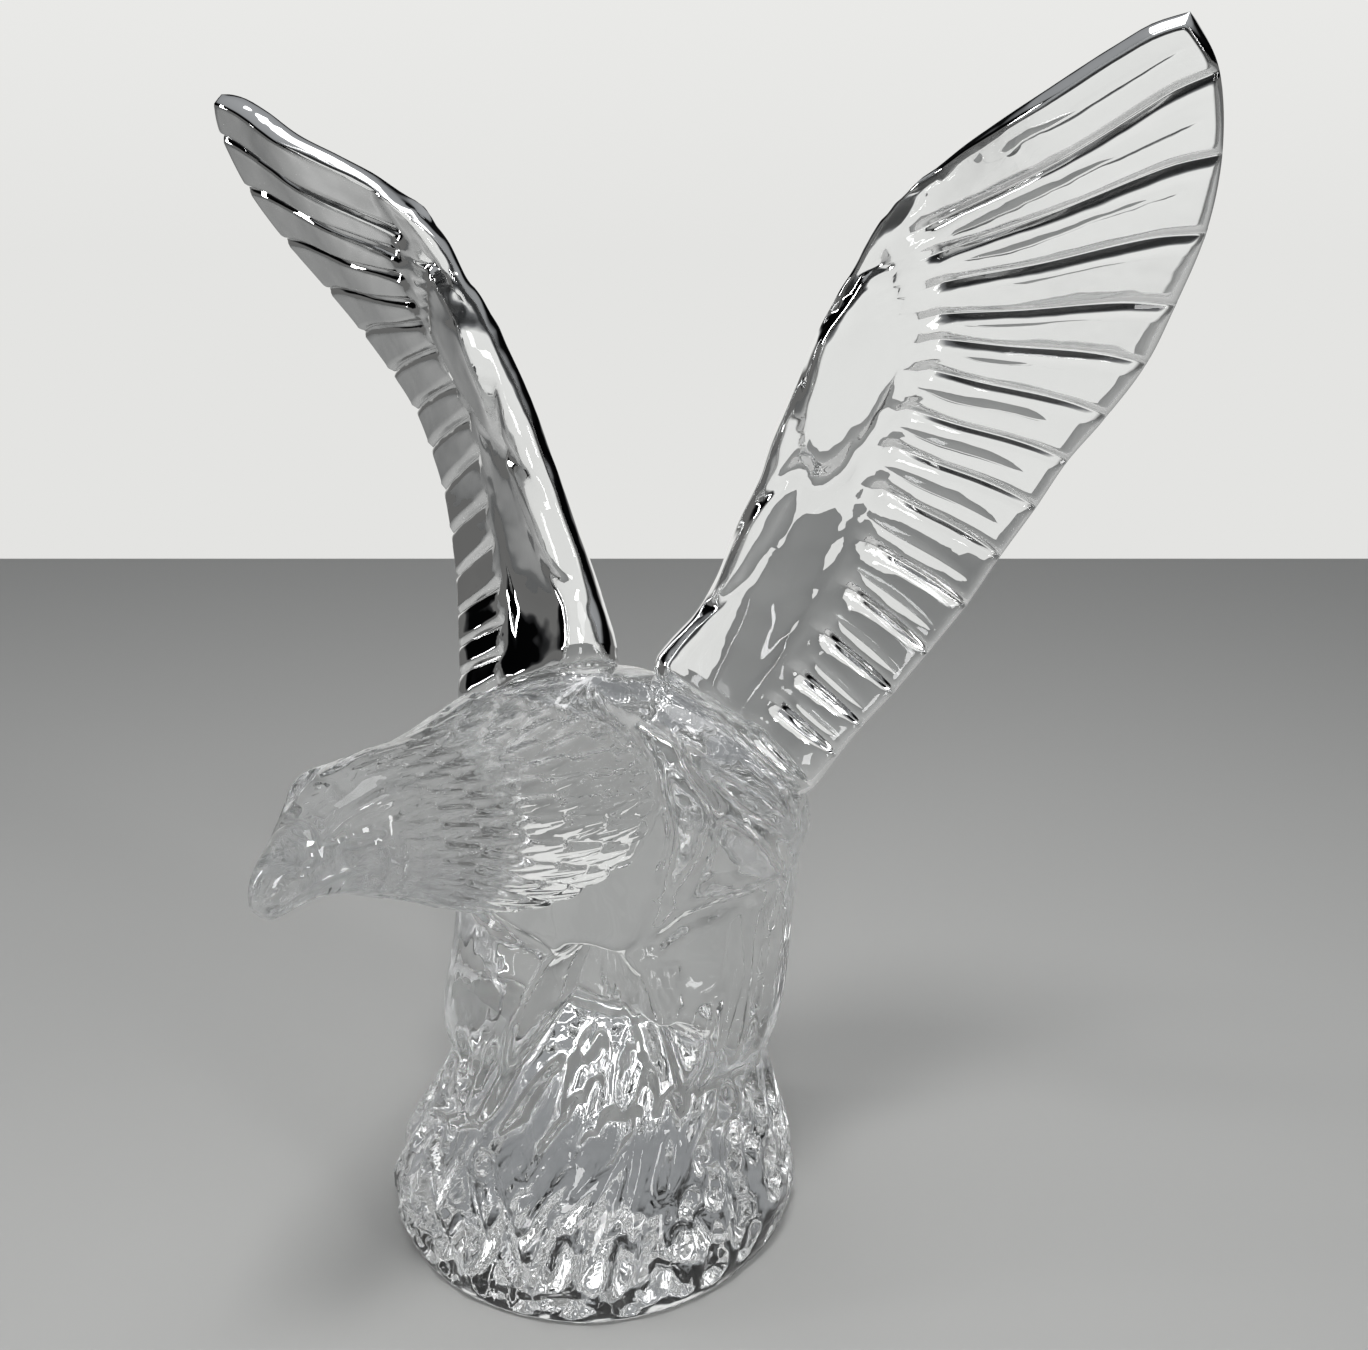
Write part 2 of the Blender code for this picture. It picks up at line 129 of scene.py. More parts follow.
# %% Meshes
def grid_quads(rows, columns, first=0, flip=False, closed=False):
    """Four corners for each cell of a grid of points; closed joins the last column to the first."""
    r = np.arange(rows - 1)[:, None]
    c = np.arange(columns if closed else columns - 1)[None, :]
    d = (c + 1) % columns
    quads = np.stack([r * columns + c, r * columns + d, (r + 1) * columns + d, (r + 1) * columns + c], -1)
    quads = quads.reshape(-1, 4) + first
    return quads[:, ::-1] if flip else quads


def new_mesh(name, points, *face_sets):
    """Mesh from an array of points and arrays of quads or triangles, written in whole blocks."""
    sizes = np.concatenate([np.full(len(f), f.shape[1]) for f in face_sets])
    corners = np.concatenate([np.asarray(f).reshape(-1) for f in face_sets])
    mesh = bpy.data.meshes.new(name)
    mesh.vertices.add(len(points))
    mesh.vertices.foreach_set("co", np.asarray(points, np.float32).reshape(-1))
    mesh.loops.add(len(corners))
    mesh.loops.foreach_set("vertex_index", corners.astype(np.int32))
    mesh.polygons.add(len(sizes))
    mesh.polygons.foreach_set("loop_start", np.concatenate([[0], np.cumsum(sizes)[:-1]]).astype(np.int32))
    mesh.update(calc_edges=True)
    mesh.validate()
    made = bpy.data.objects.new(name, mesh)
    bpy.context.scene.collection.objects.link(made)
    return made


# %% [markdown]
# ## Floor and light
# Clear glass has no colour of its own, so all that shows is the room bent through it. A floor in pale satin paint is
# plain enough to leave the glass alone. It ends in a straight line behind the bird, where a wall takes over that is
# bright only there and keeps the panels of the wings clear. The dark band above that wall and the dim sides of the
# room give the edges and grooves their dark lines, as in any studio picture of glass. A paler ceiling and five soft
# boxes add the highlights.

# %% Floor
# Metres from the middle of the base; the gap of air keeps the glass from closing optically with the floor
FLOOR_AHEAD, FLOOR_BEHIND, FLOOR_HALF, AIR_GAP = 0.72, 4.0, 4.0, 0.0004
ahead = np.array([-math.sin(AZIMUTH), math.cos(AZIMUTH), 0])
aside = np.array([math.cos(AZIMUTH), math.sin(AZIMUTH), 0])
corners = np.array([ahead * a + aside * b for a, b in ((-FLOOR_BEHIND, -FLOOR_HALF), (-FLOOR_BEHIND, FLOOR_HALF),
                                                       (FLOOR_AHEAD, FLOOR_HALF), (FLOOR_AHEAD, -FLOOR_HALF))])
floor = new_mesh("floor", corners - (0, 0, AIR_GAP), np.array([[0, 1, 2, 3]]))
paint = bpy.data.materials.new("pale_satin_paint")
paint.use_nodes = True
satin = paint.node_tree.nodes["Principled BSDF"]
satin.inputs["Base Color"].default_value = to_linear("#C2C2C0")
satin.inputs["Roughness"].default_value = 0.45
floor.data.materials.append(paint)
print("floor", [round(v, 2) for v in floor.dimensions], "m")

# %% Room
# Shades over the height of the direction looked in: floor line, wall, its soft top edge, dark band and ceiling
ROOM_SHADES = [(0.0, "#E4E4E2"), (0.16, "#EAEAE8"), (0.20, "#6A6B6D"), (0.24, "#141516"), (0.50, "#0C0C0D"),
               (0.60, "#86888A"), (1.0, "#9C9EA0")]
# The wall is fully lit where the direction turns from straight ahead by an angle of cosine over 0.87, dim under 0.76
WALL_LIGHT = {"From Min": 0.76, "From Max": 0.87, "To Min": 0.16, "To Max": 1.0}
CEILING_LIGHT = {"From Min": 0.40, "From Max": 0.50}
world = bpy.data.worlds.new("room")
bpy.context.scene.world = world
world.use_nodes = True
tree = world.node_tree
direction = add_node(tree, "ShaderNodeTexCoord")
height = add_node(tree, "ShaderNodeSeparateXYZ", links={"Vector": direction.outputs["Generated"]})
shade = add_node(tree, "ShaderNodeValToRGB", links={"Fac": height.outputs["Z"]})
ramp = shade.color_ramp
for element, (position, colour) in zip(list(ramp.elements), (ROOM_SHADES[0], ROOM_SHADES[-1])):
    element.position, element.color = position, to_linear(colour)
for position, colour in ROOM_SHADES[1:-1]:
    ramp.elements.new(position).color = to_linear(colour)
facing = add_node(tree, "ShaderNodeVectorMath", {"operation": "DOT_PRODUCT"}, {0: direction.outputs["Generated"]})
facing.inputs[1].default_value = ahead.tolist()
wall = add_node(tree, "ShaderNodeMapRange", WALL_LIGHT, {"Value": facing.outputs["Value"]})
ceiling = add_node(tree, "ShaderNodeMapRange", CEILING_LIGHT, {"Value": height.outputs["Z"]})
part = add_node(tree, "ShaderNodeMath", {"operation": "MAXIMUM"},
                {0: wall.outputs["Result"], 1: ceiling.outputs["Result"]})
lit = add_node(tree, "ShaderNodeVectorMath", {"operation": "SCALE"},
               {0: shade.outputs["Color"], "Scale": part.outputs["Value"]})
tree.links.new(lit.outputs["Vector"], tree.nodes["Background"].inputs["Color"])
tree.nodes["Background"].inputs["Strength"].default_value = 1.0
bpy.context.scene.view_settings.view_transform = "Standard"
print("room shades", len(ramp.elements))

# %% Soft boxes
# Name, place and the two sides in metres, and watts; each faces the middle of the bird
SOFT_BOXES = [("key_box", (0.12, -0.18, 0.58), 0.12, 0.09, 1.15), ("overhead_box", (0.0, 0.06, 0.80), 0.55, 0.45, 1.5),
              ("front_box", (0.55, -0.85, 0.55), 0.22, 0.32, 1.8), ("window_box", (1.0, -0.1, 0.55), 0.12, 0.40, 1.5),
              ("fill_box", (-0.9, -0.6, 0.55), 0.10, 0.40, 1.2)]
BIRD_MIDDLE = Vector((0, 0, 0.12))
for name, place, wide, long, watts in SOFT_BOXES:
    light = bpy.data.lights.new(name, "AREA")
    light.shape, light.size, light.size_y, light.energy = "RECTANGLE", wide, long, watts
    holder = bpy.data.objects.new(name, light)
    holder.location = place
    holder.rotation_euler = (BIRD_MIDDLE - Vector(place)).to_track_quat("-Z", "Y").to_euler()
    bpy.context.scene.collection.objects.link(holder)
print("soft boxes", len(SOFT_BOXES))

# %% [markdown]
# ## Sizes
# The solids give the form. The same named sizes are written again here, because this script reads nothing but the
# frame, and the finer relief of the real casting is carved into the same surfaces.

# %% Sizes in metres and the pose in thousandths of the height
FIGURE_HEIGHT = 0.240
WING_SPAN = 0.2265
WING_EDGE_THICKNESS = 0.0038
WING_ARM_THICKNESS = 0.0105
BASE_DIAMETER = 0.087
BASE_BULGE_DIAMETER = 0.0905
BODY_WIDTH = 0.073
ARCH_DEPTH = 0.017
LEG_RELIEF = 0.0018
NECK_WIDTH = 0.0486
FEATHERS = 16
SHARE = FIGURE_HEIGHT / 1000
MM = 0.001
WING_X = (WING_SPAN / 2) / 472

ARM_EDGE = [(8, 50, 471), (36, 75, 526), (55, 85, 552), (73, 88, 585), (94, 84, 632), (105, 84, 655),
            (117, 84, 678), (128, 81, 706), (142, 80, 734), (156, 78, 761), (166, 77, 784), (177, 77, 805),
            (188, 76, 822), (199, 77, 838), (217, 76, 865), (232, 75, 880), (245, 73, 891)]
TIP_EDGE = [(245, 73, 891), (266, 68, 907), (293, 58, 925), (327, 45, 942), (366, 33, 960),
            (410, 33, 984), (429, 32, 993), (453, 34, 999)]
TRAILING_EDGE = [(158, 38, 388), (193, 50, 431), (207, 66, 457), (221, 81, 481), (239, 101, 508),
                 (258, 122, 540), (281, 142, 579), (302, 156, 620), (326, 165, 661), (348, 168, 699),
                 (377, 166, 736), (407, 156, 777), (431, 134, 820), (456, 104, 869), (470, 73, 918),
                 (470, 48, 966), (453, 34, 999)]
ARM_STARTS = [0, 90, 145, 200, 275, 345, 405, 467, 523, 575, 631, 694, 758, 822, 906, 965, 1000]
ROOT_DIVE, ROOT_REACH = (30, 15, 48), 1.3
FEATHER_SWING = [0, .3, .4, .5, .6, .8, .8, 1.0, 1.05, 1.0, .95, .55, 0, -.35, -.7, -1.0, 0]
print("span", WING_SPAN, "m with", FEATHERS, "feathers a wing")

# %% [markdown]
# ## Wings
# Each wing of the real bird is a curved blade of glass, thick along the arm and thin at the feathers. V-shaped
# channels are pressed between the feathers on the front, and shorter ones along each feather on the back. A blade is
# a sheet stretched between four edges, moved forward and back by half its thickness, so every groove can be written
# as a depth over two numbers: u from the leading to the trailing edge, and g, which counts feathers.


# %% The middle sheet of a wing
def wing_sheet(u, g):
    """Coons patch: blends the four edges, less the blend of the four corners. Feather lines swing along the wing
    towards their inner ends, by their own swing times the distance from the trailing edge. Below feather 0 the
    sheet goes straight on into the body."""
    arm, tip, rear = (np.array(edge, float) * (WING_X, SHARE, SHARE) for edge in (ARM_EDGE, TIP_EDGE, TRAILING_EDGE))
    count = np.arange(len(rear))
    dive = np.minimum(g, 0)[..., None] * np.array(ROOT_DIVE, float) * (WING_X, SHARE, SHARE)
    g = np.maximum(g, 0)
    v = g + spline(count, FEATHER_SWING, g) * np.minimum(1.4 * (1 - u), 1.15)
    k, w = (v / count[-1])[..., None], u[..., None]
    front = along(arm, np.interp(v, count, np.array(ARM_STARTS) / 1000))
    back = spline(count, rear, v)
    root = arm[0] + (rear[0] - arm[0]) * w
    corners = (1 - w) * (1 - k) * arm[0] + (1 - w) * k * arm[-1] + w * (1 - k) * rear[0] + w * k * rear[-1]
    return (1 - k) * root + k * along(tip, u) + (1 - w) * front + w * back - corners + dive


# %% Grooves between the feathers
# Inner end of each main groove, from the root to the tip, as a share of the way to the trailing edge
GROOVE_START = [.66, .64, .62, .60, .58, .56, .53, .46, .42, .40, .39, .38, .355, .33, .28, .20, .16]
# Back grooves lie a third of a feather above each main groove: feather, and share of the way at both ends
BACK_AT = 0.33
BACK_GROOVES = [(15, .30, .93), (14, .27, .94), (13, .38, .92), (12, .55, .90), (11, .47, .87), (10, .50, .74),
                (9, .43, .90), (8, .45, .92), (7, .48, .93), (6, .52, .94), (5, .56, .95), (4, .58, .96),
                (3, .60, .96), (2, .64, .96)]
# Depths in mm of channels, panels and back grooves, height of the ridge at their inner ends, and for the two ovals of
# the arm the depth of the rim and the height of the swell
CHANNEL_DEPTH, PANEL_DEPTH, BACK_DEPTH, RIDGE_HEIGHT = 1.65, 1.25, 1.4, 0.8
OVAL_RIMS, OVAL_SWELLS = (1.7, 1.3), (1.1, 0.9)
print("grooves", len(GROOVE_START), "in front and", len(BACK_GROOVES), "behind")


# %% Carving of the wing's two faces
def lens(d, rim):
    """1 inside an oval, falling to 0 over the width of its rim, where d is 1 on the oval."""
    return ease((1 - d) / rim + 0.5)


def covert(u, g):
    """Distance from the middle of the big teardrop on the arm: an oval whose width grows towards the shoulder."""
    h = (g - 10.6) / 3.75
    middle = 0.165 - 0.062 * h
    width = 0.150 * (1 - 0.30 * h - 0.22 * h * h)
    return np.hypot((u - middle) / np.maximum(width, 0.03), h)


def second_covert(u, g):
    """Distance from the middle of the narrow oval below the teardrop."""
    h = (g - 4.9) / 1.75
    return np.hypot((u - 0.105 - 0.035 * h) / 0.075, h)


def front_carving(u, g, pitch):
    """Depth in mm under the plain front: a V-shaped channel at each whole feather, widest near its inner end, a
    scooped panel between channels with a round inner end, and the rims of the two ovals on the arm."""
    start = spline(np.arange(len(GROOVE_START)), GROOVE_START, g)
    away = np.abs(g - np.round(g))
    across = away * pitch
    inner = u - start
    live = ease(g / 1.2) * ease((16.3 - g) / 0.6)
    wall = 1.25 + 1.0 * bell(inner / 0.10)
    channel = CHANNEL_DEPTH * np.clip(1 - across / wall, 0, 1) ** 1.1 * ease(inner / 0.05 + 0.6) * live
    channel = channel * (1 - 0.30 * ease((u - 0.80) / 0.2))
    panel = ease((inner - 0.030 * (away * 2) ** 2 + 0.012) / 0.034) * live * (1 - 0.5 * ease(inner / 0.45))
    upper, lower = covert(u, g), second_covert(u, g)
    ovals = OVAL_RIMS[0] * bell((upper - 1.07) / 0.11) - OVAL_SWELLS[0] * lens(upper, 0.45)
    ovals = ovals + OVAL_RIMS[1] * bell((lower - 1.10) / 0.18) - OVAL_SWELLS[1] * lens(lower, 0.6)
    ridge = bell((u - start + 0.075) / 0.022) * ease((g - 1.0) / 2) * ease((14.4 - g) / 2.0)
    return channel + PANEL_DEPTH * panel + ovals - RIDGE_HEIGHT * ridge


def back_carving(u, g, pitch):
    """Depth in mm under the plain back: one spindle-shaped channel for each feather, between its two ends."""
    depth = 0 * u
    for feather, u_in, u_out in BACK_GROOVES:
        s = np.clip((u - u_in) / (u_out - u_in), 0, 1)
        run = np.sqrt(np.clip(4 * s * (1 - s), 0, 1)) * (1 - 0.45 * s)
        across = np.abs(g - feather - BACK_AT) * pitch
        depth = np.maximum(depth, BACK_DEPTH * run * np.clip(1 - across / (0.4 + 0.9 * run), 0, 1) ** 1.1)
    return depth


def plain_half(u, g):
    """Half thickness before carving: thin at the feathers, thick along the arm, with the root flared."""
    arm = bell(u / 0.30) * (1 - 0.75 * ease((g / FEATHERS - 0.60) / 0.40))
    outer = 0.55 * np.exp(-((FEATHERS - g) / 0.9) ** 2)
    flare = 1.1 * bell(np.maximum(g, 0) / 2.6) * ease((1 - u) / 0.2 + .3)
    thin, thick = WING_EDGE_THICKNESS / 2, WING_ARM_THICKNESS / 2
    return thin + (thick - thin) * np.clip(arm + outer + flare, 0, 1.9)


def round_edge(distance, radius):
    """Quarter circle: thickness share at a distance from an edge that is rounded with this radius."""
    t = 1 - np.clip(distance / radius, 0, 1)
    return np.sqrt(np.clip(1 - t * t, 0, 1))


# %% Grid of the wing
# Grid lines crowd around both kinds of groove. The free edges are rounded by their radius in mm, down to a least
# share of the thickness.
IN_FEATHER = np.array([0, .02, .065, .12, .19, .265, .305, BACK_AT, .355, .395, .47, .60, .75, .88, .935, .98])
WING_G = (np.arange(FEATHERS)[:, None] + IN_FEATHER).reshape(-1)
WING_G = np.concatenate([[-ROOT_REACH, -.9, -.6, -.4, -.2, -.1], WING_G[WING_G < FEATHERS - 0.42],
                         FEATHERS - np.array([.40, .30, .21, .14, .085, .045, .018, .004, 0.0])])
WING_U = np.concatenate([[0, .0012, .006, .016, .032, .055], np.linspace(.085, .93, 29),
                         [.955, .972, .984, .992, .997, 1.0]])
LEADING_RADIUS, TRAILING_RADIUS, TIP_RADIUS, LEAST_SHARE = 4.6, 1.5, 2.2, 0.02
print("wing grid", len(WING_U), "x", len(WING_G))


# %% Wing mesh
def make_wing(name, side):
    """Front and back faces a half thickness either side of the sheet, along its normal, joined by a rim."""
    u, g = np.meshgrid(WING_U, WING_G, indexing="ij")
    middle = wing_sheet(u, g)
    e = 1e-3
    u_hi, u_lo, g_hi, g_lo = (np.clip(u + e, 0, 1), np.clip(u - e, 0, 1), np.clip(g + e, 0, FEATHERS),
                              np.clip(g - e, -ROOT_REACH, FEATHERS))
    du = (wing_sheet(u_hi, g) - wing_sheet(u_lo, g)) / (u_hi - u_lo)[..., None]
    dg = (wing_sheet(u, g_hi) - wing_sheet(u, g_lo)) / (g_hi - g_lo)[..., None]
    normal = np.cross(dg, du)
    normal /= np.linalg.norm(normal, axis=-1, keepdims=True)
    normal *= np.where(normal[..., 1:2] > 0, -1.0, 1.0)
    width = np.linalg.norm(du, axis=-1) / MM
    pitch = np.linalg.norm(dg, axis=-1) / MM
    half = plain_half(u, g) / MM
    edge = (round_edge(u * width, np.maximum(LEADING_RADIUS, half)) * round_edge((1 - u) * width, TRAILING_RADIUS)
            * round_edge((FEATHERS - g) * pitch, TIP_RADIUS))
    edge = np.maximum(edge, LEAST_SHARE)
    front = middle + normal * ((half - front_carving(u, g, pitch)) * edge * MM)[..., None]
    back = middle - normal * ((half - back_carving(u, g, pitch)) * edge * MM)[..., None]
    rows, columns = u.shape
    n = rows * columns
    points = np.concatenate([front.reshape(-1, 3), back.reshape(-1, 3)])
    points[:, 0] *= side
    rim = np.concatenate([np.arange(columns), np.arange(1, rows) * columns + columns - 1,
                          (rows - 1) * columns + np.arange(columns - 2, -1, -1),
                          np.arange(rows - 2, 0, -1) * columns])
    step = np.roll(rim, -1)
    band = np.stack([rim, rim + n, step + n, step], -1)
    band = band if side > 0 else band[:, ::-1]
    return new_mesh(name, points, grid_quads(rows, columns, 0, side < 0), grid_quads(rows, columns, n, side > 0), band)


# %% [markdown]
# ## Body, legs and rock
# Below the wings the casting is a mass around an upright axis: a smooth back and belly, two legs either side of an
# arch, and a rock whose face is pressed with long leaf-shaped dishes, like ice. All of it can be written as one
# radius over a bearing and a height, so a single grid wraps it without a seam.

# %% Rings of the body and profile of the rock, in thousandths of the height
BODY_RINGS = [(0, 21, -80, 122, .74), (104, 21, -95, 146, .81), (121, 21, -100, 158, .84), (154, 21, -112, 179, .91),
              (196, 21, -112, 195, .975), (225, 21, -105, 196, 1.0), (250, 21, -94, 196, 1.02),
              (288, 21, -82, 194, 1.045), (325, 21, -80, 189, 1.09), (362, 21, -74, 180, 1.19),
              (400, 21, -66, 163, 1.26), (430, 21, -60, 142, 1.19), (452, 21, -60, 124, 1.02),
              (474, 20, -62, 106, .78), (490, 14, -66, 88, .52), (502, 6, -66, 66, .30), (508, -2, -52, 36, .14)]
ROCK_PROFILE = [(0, 1.0), (12, 1.025), (30, 1.04), (50, 1.02), (68, .985), (85, .945), (105, .895), (125, .845),
                (147, .80), (168, .745), (186, .67), (202, .57), (216, .43), (226, .26), (231, .1)]
ROCK_OUTLINE = [(-180, 0), (-100, 2), (-56, 4.5), (-22, -3), (5, -1), (34, 2), (60, -3), (85, -8), (124, -4), (180, 0)]
BODY_HEM = [(-180, 20), (-75, 40), (-50, 90), (-30, 112), (-14, 128), (-8, 130), (-5, 160),
            (-2, 200), (3, 240), (9, 270), (18, 288), (30, 292), (42, 288), (49, 268), (54, 222), (59, 226),
            (65, 228), (72, 212), (80, 176), (88, 120), (105, 60), (180, 20)]
TONGUE = [(54, 90, 5), (62, 122, 12), (72, 160, 24), (82, 205, 36), (92, 250, 46)]
TAIL_EDGE_BEARING, TAIL_FEATHERS = 118, 7
# Metres by which the tail stands out, its feathers bulge and the right thigh swells
TAIL_RAISE, TAIL_BARREL, THIGH_SWELL = 0.0005, 0.0012, 0.0024
# Radius that turns degrees into lengths along the hem, and how widely the body fades into the rock
HEM_RADIUS, HEM_SOFTNESS = 148, 13
print("rings", len(BODY_RINGS), "of the body,", len(ROCK_PROFILE), "heights of the rock")


# %% Dishes pressed into a surface
def dish(a, b, wide, long, blunt=0.0):
    """Leaf-shaped dish, 1 in the middle and 0 at its rim: across it falls as a parabola whose half width narrows to
    a point at both ends, as 1 minus the square of the way along. blunt keeps the ends rounder."""
    reach = np.clip(1 - (b / long) ** 2, 0, 1)
    half = wide * reach ** (1 - 0.5 * blunt)
    return np.clip(1 - (a / np.maximum(half, 1e-6)) ** 2, 0, 1) * ease(reach * 1.6)


def press(bearing, z, marks, radius_mm):
    """Deepest of many dishes in mm. A mark is bearing in degrees, height, half width, half length and lean of its
    long axis in degrees towards the left wing, depth, and bluntness; a and b turn the distance along the wall."""
    depth = 0 * z
    for at, high, wide, long, lean, deep, blunt in marks:
        across = ((np.degrees(bearing) - at + 180) % 360 - 180) * math.radians(1) * radius_mm
        up = z / MM - high
        c, s = math.cos(math.radians(lean)), math.sin(math.radians(lean))
        depth = np.maximum(depth, deep * dish(across * c - up * s, across * s + up * c, wide, long, blunt))
    return depth


def stroke(bearing, z, path, wide, radius_mm):
    """Bell curve over the distance in mm to a bent line drawn on the wall from one (bearing, height) to the next."""
    x, y = np.degrees(bearing) * math.radians(1) * radius_mm, z / MM
    near = np.full(z.shape, 1e9)
    for (a, b), (c, d) in zip(path, path[1:]):
        ax, cx = math.radians(a) * radius_mm, math.radians(c) * radius_mm
        t = np.clip(((x - ax) * (cx - ax) + (y - b) * (d - b)) / ((cx - ax) ** 2 + (d - b) ** 2), 0, 1)
        near = np.minimum(near, np.hypot(x - ax - t * (cx - ax), y - b - t * (d - b)))
    return bell(near / wide)


def rock_marks():
    """Leaves and cells of the rock: staggered rows around it, with sizes that vary by a seeded draw, and shallower
    in front, where the larger marks below are added, and behind."""
    draw = np.random.default_rng(7)
    marks = []
    for row, (high, count, wide, long, lean, deep) in enumerate([
            (6, 27, 4.2, 8, 8, 1.9), (16, 24, 4.9, 12, 18, 2.6), (27, 22, 5.2, 12, 24, 2.8), (37, 20, 4.8, 11, 26, 2.5),
            (46, 16, 4.3, 9, 24, 1.9)]):
        for i in range(count):
            at = 360 / count * (i + 0.5 * (row % 2)) + draw.uniform(-3, 3) - 180
            round_cell = 58 < at < 112
            shallow = 0.8 if -46 < at < 60 else 0.4 if abs(at) > 125 else 1.0
            size = draw.uniform(0.8, 1.2)
            marks.append((at, high + draw.uniform(-2, 2), wide * size * (0.7 if round_cell else 1.0),
                          (4.6 if round_cell else long) * draw.uniform(0.85, 1.2),
                          draw.uniform(-50, 60) if round_cell else lean + draw.uniform(-10, 10),
                          deep * shallow * draw.uniform(0.75, 1.1), 0.8 if round_cell else 0.15))
    return marks


# %% Marks, dents and folds
# Marks on the rock's front: long leaves on the right foot's side, flowing lines and dents in the middle, flames
# along the rim, then cells under the left wing; all are pressed deeper by one factor
FRONT_DEEPER, FOLD_HIGHER = 1.4, 1.6
FRONT_MARKS = [
    (-21, 12, 3.2, 13, -60, 2.6, 0), (-6, 17, 3.2, 12, -50, 2.7, 0), (0, 22, 2.6, 8, -48, 2.2, 0),
    (-33, 8, 2.6, 8, -72, 2.0, 0), (-31, 21, 3.2, 10, -52, 2.4, 0), (-43, 28, 3.2, 9, -42, 2.2, 0),
    (12, 13, 2.8, 9, -30, 2.2, 0), (6, 32, 2.8, 3.6, 10, 1.8, .8), (29, 31, 2.5, 4.2, 30, 2.2, .7),
    (23, 25, 2.5, 4.2, 30, 2.0, .7), (13, 42, 2.2, 2.8, 20, 1.6, .8), (24, 37, 3.0, 4.6, 24, 1.8, .6),
    (32, 47, 3.4, 4.4, 60, 1.5, .9), (26, 12.5, 2.5, 5.2, 10, 2.4, .2), (42, 11.5, 2.5, 6.2, 4, 2.4, .2),
    (27, 5.5, 2.0, 4.4, 82, 1.3, .9), (16, 29, 2.3, 10, 30, 1.9, 0), (32, 24, 2.2, 9, 46, 2.0, 0),
    (38, 26, 2.3, 11, 34, 2.2, 0), (45, 29, 2.2, 12, 14, 2.2, 0), (18, 20, 2.2, 8, 26, 1.8, 0),
    (71, 21, 2.8, 4.4, 12, 2.4, .7), (90, 24, 2.5, 3.6, -10, 2.2, .7), (59, 14, 3.6, 3.6, 30, 1.7, .9),
    (82, 12, 3.2, 4.6, 20, 2.2, .7), (100, 15, 2.8, 4.0, 0, 2.2, .7), (115, 27, 3.0, 4.4, 10, 2.2, .6),
    (90, 33, 2.8, 4.0, 30, 2.0, .6), (70, 5, 2.6, 3.2, 80, 1.6, .8), (62, 20, 2.2, 3.6, 40, 2.0, .5),
    (67, 31, 2.2, 5.2, 58, 2.0, .3), (82, 29, 2.2, 4.2, 50, 1.9, .4), (52, 8, 2.4, 4.6, 20, 2.0, .3)]
ROCK_MARKS = rock_marks() + [(*mark[:5], FRONT_DEEPER * mark[5], mark[6]) for mark in FRONT_MARKS]
# Small rounded dents and feathers of the legs, toes, and a row of beads down each edge of the tail
LEG_MARKS = [(51 + 4.2 * (i % 3) + (2 if i // 3 % 2 else 0), 53 + 3.0 * (i // 3), 1.7, 2.4, -12, 1.0, 0.6)
             for i in range(18)]
LEG_MARKS += [(17 + 5.5 * i, 61 + 3.6 * math.sin(0.9 * i + 0.6), 1.7, 3.4, 60 - 18 * i, 1.0, 0.5) for i in range(6)]
FOOT_MARKS = [(-27, 41, 2.8, 7, -32, 1.8, .1), (-12, 42, 2.4, 8, 12, 1.8, .1), (-18, 34, 2.4, 5, -14, 1.4, .3),
              (-38, 38, 2.8, 7, -30, 1.6, .1)]
TAIL_BEADS = [(98 - 1.2 * i, 84 - 9.2 * i, 2.3, 4.6, 8, 0.9, 0.6) for i in range(5)]
TAIL_BEADS += [(-98 + 1.2 * i, 84 - 9.2 * i, 2.3, 4.6, -8, 0.9, 0.6) for i in range(5)]
# Staggered rows of short feathers over the upper back
BACK_FEATHERS = [(98 + 17 * i + 8.5 * (row % 2), 76 + 8.5 * row, 4.4 - 0.3 * row, 6.4, 0, 1.0, 0.5)
                 for row in range(5) for i in range(10)]
# Folds and creases of the smooth body: height before the factor and width in mm, and the line in bearings and heights
FOLDS = [(-1.0, 1.5, [(57, 114), (61, 106), (62, 96), (58, 87)]),
         (1.0, 1.7, [(66, 113), (69, 104), (66, 95), (59, 85)]),
         (-0.9, 1.6, [(-52, 73), (-22, 70), (0, 69), (20, 66), (38, 67), (50, 73), (56, 82)]),
         (-1.2, 1.8, [(55, 73), (63, 79), (75, 82), (90, 84), (108, 82)]), (0.8, 2.4, [(58, 79), (70, 86), (88, 89)]),
         (1.3, 1.6, [(70, 58), (67, 46), (59, 34), (52, 20)]), (-0.9, 1.2, [(75, 60), (73, 46), (62, 33), (54, 22)]),
         (-0.5, 2.6, [(82, 78), (85, 64), (80, 48)]), (0.7, 2.0, [(58, 109), (68, 104), (78, 96), (86, 88)]),
         (-0.7, 1.6, [(66, 112), (76, 105), (86, 97), (95, 90)])]
# Radii in mm that turn bearings into lengths for the marks of the rock, low legs, legs and folds
ROCK_RADIUS, LOW_RADIUS, LEG_RADIUS, FOLD_RADIUS = 42.0, 30.0, 36.0, 37.0
print("marks", len(ROCK_MARKS), "on the rock,", len(BACK_FEATHERS), "feathers on the back,", len(FOLDS), "folds")


# %% Radius of the rock and of the body around the axis
def soft_max(a, b, width):
    """The larger of two values, with the corner between them rounded over the width."""
    h = np.clip(0.5 + (a - b) / (2 * width), 0, 1)
    return b + (a - b) * h + width * h * (1 - h)


